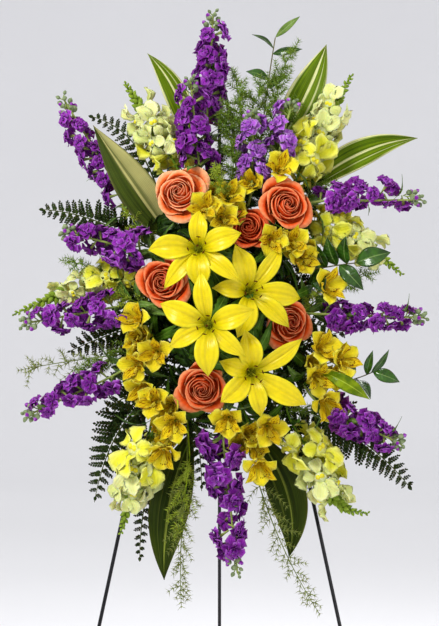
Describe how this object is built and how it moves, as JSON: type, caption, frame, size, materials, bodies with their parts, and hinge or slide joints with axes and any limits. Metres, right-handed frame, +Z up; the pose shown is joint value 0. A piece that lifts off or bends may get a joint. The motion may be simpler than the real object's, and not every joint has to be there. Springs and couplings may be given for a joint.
{
  "type": "standing funeral spray",
  "caption": "Tall oval spray of lilies, roses, stock, snapdragons and greenery in a foam cage, hung on a wire easel whose back leg folds forward.",
  "frame": {"origin": "centre of the base of the bounding box, on the floor under the easel", "axes": "+Z up, -Y towards the viewer, +X to the viewer's right"},
  "size_m": [0.6982, 0.8209, 1.4901],
  "materials": {
    "wire": "black enamelled wire, satin",
    "cage": "dark green moulded plastic",
    "foam": "dark green wet floral foam, dull",
    "lily": "bright yellow petals, lighter at the edges, dark stamens",
    "rose": "orange-coral petals with peach edges",
    "stock": "deep violet ruffled florets with lavender lights",
    "snapdragon": "cream florets with a lemon throat, lime buds",
    "alstroemeria": "golden yellow petals with brown flecks",
    "variegated": "green leaf striped with cream, satin",
    "fern": "dark bluish-green fern frond",
    "asparagus": "light green feathery needles",
    "twig": "glossy mid-green leaves on a thin woody stem"
  },
  "bodies": {
    "root": {"alstroemeria_bottom": "alstroemeria", "alstroemeria_bottom_left": "alstroemeria", "alstroemeria_left": "alstroemeria", "alstroemeria_right": "alstroemeria", "alstroemeria_right_low": "alstroemeria", "alstroemeria_top": "alstroemeria", "alstroemeria_top_right": "alstroemeria", "asparagus_bottom_left": "asparagus", "asparagus_bottom_right": "asparagus", "asparagus_left": "asparagus", "asparagus_top": "asparagus", "easel_brace_bar": "wire", "easel_front_leg_left": "wire", "easel_front_leg_right": "wire", "easel_hanger_bar": "wire", "easel_hinge_staple": "wire", "fern_left_low": "fern", "fern_left_middle": "fern", "fern_left_upper": "fern", "fern_right_low": "fern", "leaf_bottom_left": "variegated", "leaf_bottom_right": "variegated", "leaf_left_tall": "variegated", "leaf_right_upper": "variegated", "leaf_top_left": "variegated", "leaf_top_right": "variegated", "lily_bottom": "lily", "lily_middle": "lily", "lily_right": "lily", "lily_top": "lily", "rose_bottom": "rose", "rose_left": "rose", "rose_middle": "rose", "rose_right": "rose", "rose_top_left": "rose", "rose_top_right": "rose", "snapdragon_bottom_left": "snapdragon", "snapdragon_bottom_right": "snapdragon", "snapdragon_left": "snapdragon", "snapdragon_right": "snapdragon", "snapdragon_top_left": "snapdragon", "snapdragon_top_right": "snapdragon", "spray_cage": "cage", "stock_bottom": "stock", "stock_left": "stock", "stock_left_low": "stock", "stock_left_middle": "stock", "stock_left_upper": "stock", "stock_right": "stock", "stock_right_low": "stock", "stock_right_upper": "stock", "stock_top": "stock", "stock_top_low": "stock", "stock_top_pair": "stock", "twig_right": "twig", "twig_right_low": "twig", "twig_top": "twig", "wet_foam": "foam"},
    "back_leg": {"easel_back_leg": "wire"}
  },
  "joints": [
    {"name": "back_leg_fold", "type": "hinge", "parent": "root", "child": "back_leg", "pos_m": [0, -0.03535, 1.36222], "axis": [-1, 0, 0], "range_deg": [0, 26]}
  ]
}
